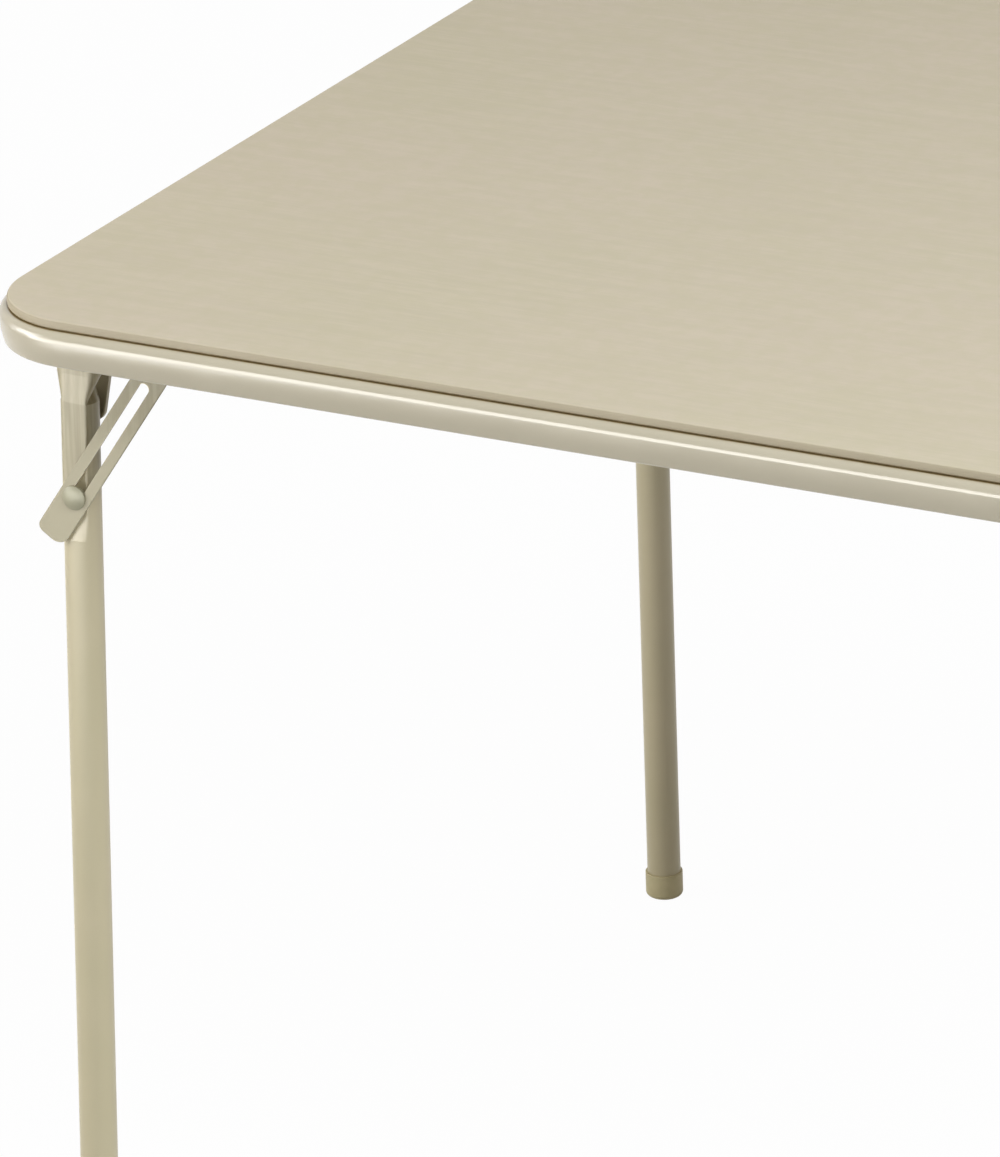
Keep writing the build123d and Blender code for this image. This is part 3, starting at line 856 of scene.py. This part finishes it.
@dataclass(frozen=True)
class PaddedTop:
    """The vinyl sheet drawn over the panel, and the foam sheet under it."""

    sheet_gauge: float = 0.6 * MM
    gauge_play: float = 0.02 * MM
    hem_width: float = 18.0 * MM
    corner_radius: float = 62.0 * MM
    corner_steps: int = 20
    lower_radius: float = 2.0 * MM
    roll_width: float = 1.6 * MM
    roll_height: float = 1.7 * MM
    roll_steps: int = 7
    margin: float = 24.0 * MM
    margin_play: float = 0.1 * MM
    cells: int = 26
    give: float = 0.1 * MM
    give_size: float = 0.13
    sheet_smooth_below: float = 40.0
    foam_smooth_below: float = 60.0

    def outline(self, name: str, inset: float, depth: float) -> Piece:
        """Start a piece as one flat face with round corners.

        Args:
            name: The piece's name.
            inset: How far its edge lies inside the vinyl cover's.
            depth: How far it lies below the top.

        Returns:
            The piece, in edit mode with its face selected.
        """
        low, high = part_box("vinyl_cover")
        deselect()
        middle = ((low.x + high.x) / 2, (low.y + high.y) / 2, high.z - depth)
        bpy.ops.mesh.primitive_plane_add(size=high.x - low.x - 2 * inset, location=middle)
        piece = edit_new(name)
        bpy.ops.mesh.select_mode(type="VERT")
        bpy.ops.mesh.select_all(action="SELECT")
        bpy.ops.mesh.bevel(offset=self.corner_radius - inset, segments=self.corner_steps, affect="VERTICES")
        bpy.ops.mesh.select_mode(type="FACE")
        bpy.ops.mesh.select_all(action="SELECT")
        return piece

    def cut_cells(self, piece: Piece) -> None:
        """Cut the flat middle of the top into cells, so that it can be shaped.

        Args:
            piece: The piece that is being edited.
        """
        low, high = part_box("vinyl_cover")
        border = self.roll_width + self.margin
        span = high.x - low.x - 2 * border
        lines = [low.x + border + span * index / self.cells for index in range(1, self.cells)]
        cut_both_ways(piece, lines, lambda centre, way: way.z > LEVEL and centre.z > high.z - self.give
                      and max(abs(centre.x), abs(centre.y)) < high.x - border)

    def soften(self, piece: Piece, corner: Vector) -> None:
        """Let the flat middle sink by uneven fractions of a millimetre, as foam under vinyl does.

        Args:
            piece: The sheet.
            corner: The upper corner of its box.
        """
        group = piece.vertex_groups.new(name="flat_middle")
        border = self.roll_width + self.margin
        for vertex in piece.data.vertices:
            inside = corner.x - max(abs(vertex.co.x), abs(vertex.co.y)) > border - self.margin_play
            if inside and vertex.co.z > corner.z - self.give:
                group.add([vertex.index], 1.0, "REPLACE")
        texture = bpy.data.textures.new("foam_give", "CLOUDS")
        texture.noise_scale = self.give_size
        texture.noise_depth = 1
        sink = piece.modifiers.new("foam_give", "DISPLACE")
        sink.texture = texture
        sink.texture_coords = "LOCAL"
        sink.direction = "Z"
        sink.mid_level = 1.0
        sink.strength = self.give
        sink.vertex_group = group.name

    def build_sheet(self) -> Piece:
        """Model the vinyl: rolled edge above, flat middle, and a hem turned under below.

        Returns:
            The finished sheet.
        """
        low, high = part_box("vinyl_cover")
        widest = high.z - low.z - self.lower_radius
        piece = self.outline("vinyl_sheet", 0.0, widest)
        raise_selected(widest - self.roll_height)
        roll_over(self.roll_width, self.roll_height, self.roll_steps)
        bpy.ops.mesh.inset(thickness=self.margin)
        pick_faces(piece, lambda centre, way: way.z < -LEVEL)
        roll_over(self.lower_radius, self.lower_radius, self.roll_steps)
        bpy.ops.mesh.inset(thickness=self.hem_width - self.lower_radius)
        bpy.ops.mesh.delete(type="FACE")
        self.cut_cells(piece)
        bpy.ops.object.mode_set(mode="OBJECT")
        self.soften(piece, high)
        wall = piece.modifiers.new("sheet_wall", "SOLIDIFY")
        wall.thickness = self.sheet_gauge - self.gauge_play
        wall.offset = -1.0
        wall.use_even_offset = True
        only(piece)
        for modifier in list(piece.modifiers):
            bpy.ops.object.modifier_apply(modifier=modifier.name)
        settle(piece, self.sheet_smooth_below)
        return piece

    def build_foam(self) -> Piece:
        """Model the foam: a thin sheet that fills the space between the vinyl and the board.

        Returns:
            The finished foam.
        """
        low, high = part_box("foam_pad")
        cover_low, cover_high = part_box("vinyl_cover")
        piece = self.outline("foam_sheet", low.x - cover_low.x, cover_high.z - low.z)
        roll_over(self.roll_width / 2, high.z - low.z - self.give, self.roll_steps)
        bpy.ops.mesh.select_mode(type="EDGE")
        bpy.ops.mesh.select_all(action="DESELECT")
        bpy.ops.mesh.select_non_manifold(extend=False)
        bpy.ops.mesh.edge_face_add()
        settle(piece, self.foam_smooth_below)
        return piece

    def make(self, vinyl: Material, foam: Material) -> None:
        """Build, dress and place both soft pieces.

        Args:
            vinyl: The sheet's material.
            foam: The foam's material.
        """
        sheet = self.build_sheet()
        paint(sheet, vinyl)
        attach(sheet, "root")
        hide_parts("vinyl_cover")
        pad = self.build_foam()
        paint(pad, foam)
        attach(pad, "root")
        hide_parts("foam_pad")


@dataclass(frozen=True)
class CrossScrews:
    """Round-head screws with a cross recess, driven up through the rail's flange."""

    count: int = 8
    spacing: float = 430.0 * MM
    turned_on: float = 1.9  # radians from each screw to the next
    sides: int = 40
    head_radius: float = 3.6 * MM
    head_height: float = 2.0 * MM
    head_round: float = 1.0 * MM
    round_steps: int = 6
    shank_radius: float = 1.75 * MM
    tip_bevel: float = 0.4 * MM
    tip_height: float = 0.38 * MM
    recess_reach: float = 1.9 * MM
    recess_width: float = 0.8 * MM
    recess_depth: float = 1.1 * MM
    recess_taper: float = 0.7
    end_play: float = 0.01 * MM
    smooth_below: float = 30.0

    def cut_recess(self, piece: Piece, bottom: float) -> None:
        """Cut the cross into the head's flat end and sink it, narrower towards its floor.

        Args:
            piece: The screw, in edit mode.
            bottom: Height of the head's flat end.
        """
        half = self.recess_width / 2
        lines = (-self.recess_reach, -half, half, self.recess_reach)
        cut_both_ways(piece, lines, lambda centre, way: way.z < -LEVEL and centre.z < bottom + self.end_play)
        pick_faces(piece, lambda centre, way: way.z < -LEVEL and centre.z < bottom + self.end_play
                   and min(abs(centre.x), abs(centre.y)) < half
                   and max(abs(centre.x), abs(centre.y)) < self.recess_reach)
        raise_selected(self.recess_depth)
        bpy.ops.transform.resize(value=(self.recess_taper, self.recess_taper, 1.0),
                                 center_override=(0, 0, bottom))

    def build(self, name: str) -> Piece:
        """Model one screw on the vertical axis through the origin.

        Args:
            name: The piece's name.

        Returns:
            The screw, head down.
        """
        low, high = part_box("panel_screws")
        straight = self.head_height - self.head_round
        seat = low.z + self.head_height
        deselect()
        bpy.ops.mesh.primitive_cylinder_add(vertices=self.sides, radius=self.head_radius, depth=straight,
                                            location=(0, 0, seat - straight / 2))
        piece = edit_new(name)
        pick_faces(piece, lambda centre, way: way.z > LEVEL)
        bpy.ops.mesh.inset(thickness=self.head_radius - self.shank_radius)
        raise_selected(high.z - seat - self.tip_bevel)
        bpy.ops.mesh.inset(thickness=self.tip_bevel, depth=self.tip_height)
        pick_faces(piece, lambda centre, way: way.z < -LEVEL)
        roll_over(self.head_round, self.head_round, self.round_steps)
        self.cut_recess(piece, low.z)
        settle(piece, self.smooth_below)
        return piece

    def make(self, material: Material) -> None:
        """Build, dress and place two screws on each side of the rail.

        Args:
            material: The screws' material.
        """
        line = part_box("panel_screws")[1].x - self.head_radius
        first = self.build("cross_screw_1")
        paint(first, material)
        screws = [first]
        for number in range(2, self.count + 1):
            only(first)
            bpy.ops.object.duplicate(linked=False)
            copy = bpy.context.object
            copy.name = "cross_screw_%d" % number
            screws.append(copy)
        for number, screw in enumerate(screws):
            only(screw)
            side = Matrix.Rotation(QUARTER_TURN * (number // 2), 4, "Z")
            spot = Matrix.Translation((self.spacing * (number % 2 - 0.5), -line, 0.0))
            screw.matrix_world = side @ spot @ Matrix.Rotation(self.turned_on * number, 4, "Z")
            bpy.ops.object.transform_apply(location=True, rotation=True, scale=True)
            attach(screw, "root")
            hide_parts("panel_screws")
        log.info("screws: %d, %d faces each", len(screws), len(first.data.polygons))


@dataclass(frozen=True)
class Hardware:
    """Finishes of the rail, the legs and the fold linkage, and where each goes."""

    effects: SharedEffects
    groove: Groove
    rail: Enamel = Enamel("rail_enamel_finish", (190, 181, 158), (187, 178, 155), 0.16,
                          wear=WearPlace.SEAM)
    # the legs carry painted shade under the rail from this height up
    leg: Enamel = Enamel("leg_enamel_finish", (192, 181, 149), (188, 178, 145), 0.36, coat=0.0,
                         under_rail_shade_from=0.575, under_rail_shade_share=0.66)
    # the frame's beige enamel painted darker, as shade for the bracket under the rail
    bracket: Enamel = Enamel("bracket_shaded_enamel_finish", (161, 151, 123), (153, 143, 115), 0.4, coat=0.0,
                             specular=0.35)
    rivet: Enamel = Enamel("rivet_enamel_finish", (190, 182, 156), (184, 175, 149), 0.3)
    # the frame's beige enamel painted darker, as shade for the stud
    stud: Enamel = Enamel("stud_shaded_enamel_finish", (158, 154, 128), (150, 146, 119), 0.42, coat=0.0,
                          specular=0.35)
    # the frame's beige enamel painted darker as shade, with painted shade under the rail as well
    brace: Enamel = Enamel("brace_shaded_enamel_finish", (169, 161, 134), (163, 155, 128), 0.46, coat=0.0,
                           specular=0.3, wear=WearPlace.SLOT, wear_reach=4.2 * MM,
                           under_rail_shade_from=0.615, under_rail_shade_share=0.5)
    rubbed_share: float = 0.76

    def slot_line(self, corner: str) -> tuple[Vector, Vector]:
        """Both ends of the rubbed line along a brace's slot, from the stud towards the rail.

        Args:
            corner: The corner's name.

        Returns:
            The line's ends, both in the brace's own plane.
        """
        stud_low, stud_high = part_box("lock_stud_" + corner)
        rivet_low, rivet_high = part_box("brace_rivet_tail_" + corner)
        start = (stud_low + stud_high) / 2
        rivet = (rivet_low + rivet_high) / 2
        across = Y if corner in CORNERS_ALONG_X else X
        start[across] = rivet[across]
        return start, start.lerp(rivet, self.rubbed_share)

    def make(self) -> None:
        """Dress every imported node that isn't replaced, and build the screws."""
        low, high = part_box("frame_rail")
        seam = (Vector((0.0, high.y, low.z)), Vector((0.0, high.y, high.z)))
        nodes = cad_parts
        paint(nodes["frame_rail"], self.rail.make(self.effects, seam, self.groove))
        paint(nodes["tabletop_board"], Hardboard().make(self.effects))
        CrossScrews().make(BrightZinc("zinc_screw_finish").make(self.effects))
        rivet = self.rivet.make(self.effects)
        zinc = BrightZinc("zinc_steel_finish").make(self.effects)
        materials = {
            "leg_tube_": self.leg.make(self.effects),
            "foot_tip_": MouldedTip().make(),
            "hinge_bracket_": self.bracket.make(self.effects),
            "lock_stud_": self.stud.make(self.effects),
            "bracket_rivets_": rivet,
            "leg_pivot_rivet_": rivet,
            "brace_rivet_head_": rivet,
            "brace_rivet_tail_": rivet,
            "leg_pivot_bush_": zinc,
            "leg_pivot_spacers_": zinc,
        }
        for corner in CORNERS:
            brace = replace(self.brace, name="brace_shaded_enamel_finish_" + corner)
            paint(nodes["lock_brace_" + corner], brace.make(self.effects, self.slot_line(corner)))
            for name, material in materials.items():
                paint(nodes[name + corner], material)
            log.info("dressed the fold linkage at %s", corner)


@dataclass(frozen=True)
class Softbox:
    """One rectangular soft lamp."""

    name: str
    place: Point
    target: Point
    width: float
    height: float
    power: float
    colour: Colour = (1.0, 1.0, 1.0)
    gloss_only: bool = False

    def make(self) -> None:
        """Place the lamp so that it faces its target."""
        data = bpy.data.lights.new(self.name, "AREA")
        data.shape = "RECTANGLE"
        data.size = self.width
        data.size_y = self.height
        data.energy = self.power
        data.color = self.colour
        lamp = bpy.data.objects.new(self.name, data)
        bpy.context.scene.collection.objects.link(lamp)
        away = Vector(self.place) - Vector(self.target)
        turn = away.to_track_quat("Z", "Y").to_matrix().to_4x4()
        lamp.matrix_world = Matrix.Translation(self.place) @ turn
        lamp.visible_camera = False
        lamp.visible_diffuse = not self.gloss_only


@dataclass(frozen=True)
class Studio:
    """Pale floor, white surround, soft lamps and the camera of the photograph."""

    camera_place: Point = (2.023409, -4.354534, 2.393363)
    camera_yaw: float = 28.029
    camera_pitch: float = 21.976
    camera_roll: float = -1.429
    lens: float = 253.36
    sensor_width: float = 36.0
    farthest: float = 200.0
    floor_size: float = 60.0
    floor_colour: Colour = (0.82, 0.82, 0.81)
    floor_white_share: float = 0.975
    room_light: float = 0.21
    room_tint: Colour = (1.06, 1.0, 0.9)
    white: Colour = (1.0, 1.0, 1.0)
    lamps: tuple[Softbox, ...] = (
        Softbox("high_softbox", (2.5, -1.7, 3.6), (0.0, 0.0, 0.5), 1.8, 1.8, 159.0, (0.95, 1.0, 1.07)),
        Softbox("side_softbox", (-1.7, -1.05, 1.1), (-0.3, -0.2, 0.5), 0.8, 0.8, 12.0),
        Softbox("low_softbox", (-3.0, -1.2, 1.1), (0.0, 0.0, 0.4), 1.8, 1.8, 24.0),
        Softbox("back_softbox", (0.5, 3.2, 2.1), (0.0, 0.0, 0.6), 2.4, 1.4, 10.6),
        Softbox("gloss_softbox", (-0.5, -1.08, 0.6), (-0.2, 0.0, 0.6), 1.5, 0.52, 20.4, gloss_only=True),
    )

    def make_camera(self) -> None:
        """Place the camera at the photograph's point of view."""
        data = bpy.data.cameras.new("studio_camera")
        data.lens = self.lens
        data.sensor_width = self.sensor_width
        data.clip_end = self.farthest
        camera = bpy.data.objects.new("studio_camera", data)
        bpy.context.scene.collection.objects.link(camera)
        turn = (Matrix.Rotation(math.radians(self.camera_yaw), 4, "Z")
                @ Matrix.Rotation(math.radians(90 - self.camera_pitch), 4, "X")
                @ Matrix.Rotation(math.radians(self.camera_roll), 4, "Z"))
        camera.matrix_world = Matrix.Translation(self.camera_place) @ turn
        bpy.context.scene.camera = camera

    def seen_directly(self, graph: Graph) -> Socket:
        """Mask of the rays that see the surround: from the camera, in gloss and through clear things."""
        path = graph.add("ShaderNodeLightPath").outputs
        gloss = graph.compute("MAXIMUM", path["Is Glossy Ray"], path["Is Transmission Ray"])
        return graph.compute("MAXIMUM", path["Is Camera Ray"], gloss)

    def make_room(self) -> None:
        """White surround to look at, with a softer level of light from it."""
        world = bpy.data.worlds.new("studio_room")
        graph = empty_graph(world)
        seen = self.seen_directly(graph)
        level = graph.span(seen, (0.0, 1.0), (self.room_light, 1.0))
        tint = graph.blend(seen, (*self.room_tint, 1.0), (*self.white, 1.0))
        back = graph.add("ShaderNodeBackground", {"Color": tint, "Strength": level})
        graph.add("ShaderNodeOutputWorld", {0: back.outputs[0]})
        bpy.context.scene.world = world

    def make_floor(self) -> None:
        """Pale floor that keeps a faint shadow and is clear from below."""
        deselect()
        bpy.ops.mesh.primitive_plane_add(size=self.floor_size, location=(0, 0, 0))
        floor = bpy.context.object
        floor.name = "studio_floor"
        material = bpy.data.materials.new("studio_floor")
        graph = empty_graph(material)
        matte = graph.add("ShaderNodeBsdfDiffuse", {"Color": (*self.floor_colour, 1.0)})
        glow = graph.add("ShaderNodeEmission", {"Color": (*self.white, 1.0), "Strength": 1.0})
        share = graph.times(self.seen_directly(graph), self.floor_white_share)
        mixed = graph.add("ShaderNodeMixShader", {0: share, 1: matte.outputs[0], 2: glow.outputs[0]})
        clear = graph.add("ShaderNodeBsdfTransparent").outputs[0]
        from_below = graph.add("ShaderNodeNewGeometry").outputs["Backfacing"]
        shown = graph.add("ShaderNodeMixShader", {0: from_below, 1: mixed.outputs[0], 2: clear})
        graph.add("ShaderNodeOutputMaterial", {0: shown.outputs[0]})
        paint(floor, material)

    def make(self) -> None:
        """Build the studio."""
        self.make_camera()
        self.make_room()
        self.make_floor()
        for lamp in self.lamps:
            lamp.make()
        bpy.context.scene.view_settings.view_transform = "Standard"


def main() -> None:
    """Build the table's looks and the studio, in order."""
    logging.basicConfig(level=logging.INFO, format="%(message)s")
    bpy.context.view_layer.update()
    effects = SharedEffects()
    top = PaddedTop()
    panel_low, panel_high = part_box("vinyl_cover")
    groove = Groove(panel_high.x, top.corner_radius, panel_low.z)
    Hardware(effects, groove).make()
    top.make(EmbossedVinyl(panel_high.z).make(effects, groove), OpenFoam().make())
    Studio().make()


if __name__ == "__main__":
    main()
